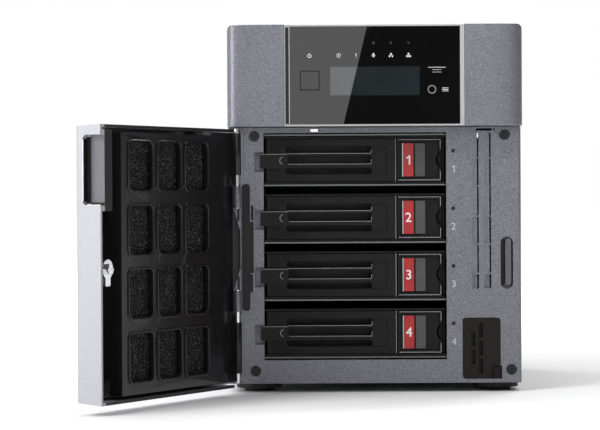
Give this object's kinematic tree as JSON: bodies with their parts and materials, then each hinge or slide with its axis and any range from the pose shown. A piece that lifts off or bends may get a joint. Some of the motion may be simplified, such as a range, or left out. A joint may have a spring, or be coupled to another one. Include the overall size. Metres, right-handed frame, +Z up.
{
  "type": "network attached storage",
  "caption": "Desktop network storage box with front-loading drive trays behind a hinged door, a control panel above them and a fan and sockets at the rear.",
  "frame": {"origin": "on the floor, under the middle of the control head's front face", "axes": "+X to the right seen from the front, +Y from the front to the rear, +Z up"},
  "size_m": [0.2451, 0.3742, 0.2126],
  "materials": {
    "cover_paint": "fine textured metallic grey powder coat on sheet steel",
    "bezel_paint": "fine textured metallic grey paint on moulded plastic",
    "door_paint": "light grey metallic satin paint",
    "black_plastic": "moulded black plastic, satin",
    "gloss_black": "polished black acrylic",
    "display_lens": "smoked display window",
    "silver_trim": "bright anodised trim",
    "lamp_lens": "dark lamp lens",
    "sheet_steel": "zinc-plated sheet steel",
    "bright_steel": "plated steel",
    "black_steel": "black oxide steel",
    "drive_metal": "black-coated cast drive body with a coated pressed lid",
    "circuit_board": "green solder mask",
    "connector_black": "black connector plastic",
    "heat_sink_metal": "extruded aluminium",
    "filter_foam": "open-cell black dust filter foam",
    "foot_rubber": "black rubber",
    "vent_brown": "dark brown-black moulded plastic"
  },
  "bodies": {
    "case": {"outer_cover": "cover_paint", "chassis_base": "sheet_steel", "rear_panel": "cover_paint", "front_bezel": "bezel_paint", "hinge_bracket": "black_steel", "hinge_pins": "bright_steel", "bezel_screws": "black_steel", "bay_light_pipes": "lamp_lens", "lock_strike": "bezel_paint", "vent_plate": "vent_brown", "door_magnet": "bright_steel", "head_bezel": "bezel_paint", "panel_trim": "silver_trim", "head_panel": "gloss_black", "display_window": "display_lens", "lcd_module": "connector_black", "front_panel_board": "circuit_board", "status_light_pipes": "lamp_lens", "drive_cage": "sheet_steel", "backplane": "circuit_board", "drive_connectors": "connector_black", "fan_frame": "black_plastic", "fan_guard": "bright_steel", "fan_screws": "black_steel", "mainboard": "circuit_board", "heat_sink": "heat_sink_metal", "memory_module": "circuit_board", "io_ports": "bright_steel", "power_supply": "sheet_steel", "ac_inlet": "connector_black", "feet": "foot_rubber", "cover_screws": "bright_steel"},
    "door": {"door_shell": "door_paint", "door_liner": "black_plastic", "door_filter": "filter_foam", "door_keeper": "bright_steel", "lock_housing": "bright_steel"},
    "lock": {"lock_plug": "bright_steel", "lock_cam": "bright_steel"},
    "power_key": {"power_button": "gloss_black"},
    "display_key": {"display_button": "gloss_black"},
    "function_key": {"function_button": "gloss_black"},
    "reset_key": {"reset_button": "vent_brown"},
    "fan": {"fan_rotor": "black_plastic"},
    "tray_body_1": {"tray_1": "black_plastic", "drive_1": "drive_metal"},
    "lever_1": {"tray_lever_1": "black_plastic"},
    "latch_1": {"tray_latch_1": "black_plastic"},
    "tray_body_2": {"tray_2": "black_plastic", "drive_2": "drive_metal"},
    "lever_2": {"tray_lever_2": "black_plastic"},
    "latch_2": {"tray_latch_2": "black_plastic"},
    "tray_body_3": {"tray_3": "black_plastic", "drive_3": "drive_metal"},
    "lever_3": {"tray_lever_3": "black_plastic"},
    "latch_3": {"tray_latch_3": "black_plastic"},
    "tray_body_4": {"tray_4": "black_plastic", "drive_4": "drive_metal"},
    "lever_4": {"tray_lever_4": "black_plastic"},
    "latch_4": {"tray_latch_4": "black_plastic"}
  },
  "joints": [
    {"name": "door_hinge", "type": "hinge", "parent": "case", "child": "door", "pos_m": [-0.07975, 0.006, 0.078], "axis": [0, 0, -1], "range_deg": [-117.4, 0]},
    {"name": "door_lock_turn", "type": "hinge", "parent": "door", "child": "lock", "pos_m": [-0.15113, -0.1317, 0.0765], "axis": [0.8878, -0.4602, 0], "range_deg": [0, 90]},
    {"name": "tray_slide_1", "type": "slide", "parent": "case", "child": "tray_body_1", "axis": [0, -1, 0], "range_m": [0, 0.15]},
    {"name": "lever_swing_1", "type": "hinge", "parent": "tray_body_1", "child": "lever_1", "pos_m": [-0.0625, 0.0245, 0.1349], "axis": [0, 0, -1], "range_deg": [0, 50]},
    {"name": "latch_slide_1", "type": "slide", "parent": "tray_body_1", "child": "latch_1", "axis": [1, 0, 0], "range_m": [0, 0.0018], "stiffness_N_per_m": 300},
    {"name": "tray_slide_2", "type": "slide", "parent": "case", "child": "tray_body_2", "axis": [0, -1, 0], "range_m": [0, 0.15]},
    {"name": "lever_swing_2", "type": "hinge", "parent": "tray_body_2", "child": "lever_2", "pos_m": [-0.0625, 0.0245, 0.10145], "axis": [0, 0, -1], "range_deg": [0, 50]},
    {"name": "latch_slide_2", "type": "slide", "parent": "tray_body_2", "child": "latch_2", "axis": [1, 0, 0], "range_m": [0, 0.0018], "stiffness_N_per_m": 300},
    {"name": "tray_slide_3", "type": "slide", "parent": "case", "child": "tray_body_3", "axis": [0, -1, 0], "range_m": [0, 0.15]},
    {"name": "lever_swing_3", "type": "hinge", "parent": "tray_body_3", "child": "lever_3", "pos_m": [-0.0625, 0.0245, 0.068], "axis": [0, 0, -1], "range_deg": [0, 50]},
    {"name": "latch_slide_3", "type": "slide", "parent": "tray_body_3", "child": "latch_3", "axis": [1, 0, 0], "range_m": [0, 0.0018], "stiffness_N_per_m": 300},
    {"name": "tray_slide_4", "type": "slide", "parent": "case", "child": "tray_body_4", "axis": [0, -1, 0], "range_m": [0, 0.15]},
    {"name": "lever_swing_4", "type": "hinge", "parent": "tray_body_4", "child": "lever_4", "pos_m": [-0.0625, 0.0245, 0.03455], "axis": [0, 0, -1], "range_deg": [0, 50]},
    {"name": "latch_slide_4", "type": "slide", "parent": "tray_body_4", "child": "latch_4", "axis": [1, 0, 0], "range_m": [0, 0.0018], "stiffness_N_per_m": 300},
    {"name": "power_press", "type": "slide", "parent": "case", "child": "power_key", "axis": [0, 1, 0], "range_m": [0, 0.0012], "stiffness_N_per_m": 400},
    {"name": "display_press", "type": "slide", "parent": "case", "child": "display_key", "axis": [0, 1, 0], "range_m": [0, 0.0008], "stiffness_N_per_m": 400},
    {"name": "function_press", "type": "slide", "parent": "case", "child": "function_key", "axis": [0, 1, 0], "range_m": [0, 0.0008], "stiffness_N_per_m": 400},
    {"name": "reset_press", "type": "slide", "parent": "case", "child": "reset_key", "axis": [0, 1, 0], "range_m": [0, 0.001], "stiffness_N_per_m": 400},
    {"name": "fan_spin", "type": "hinge", "parent": "case", "child": "fan", "pos_m": [-0.012, 0.2124, 0.084], "axis": [0, 1, 0], "continuous": true}
  ]
}
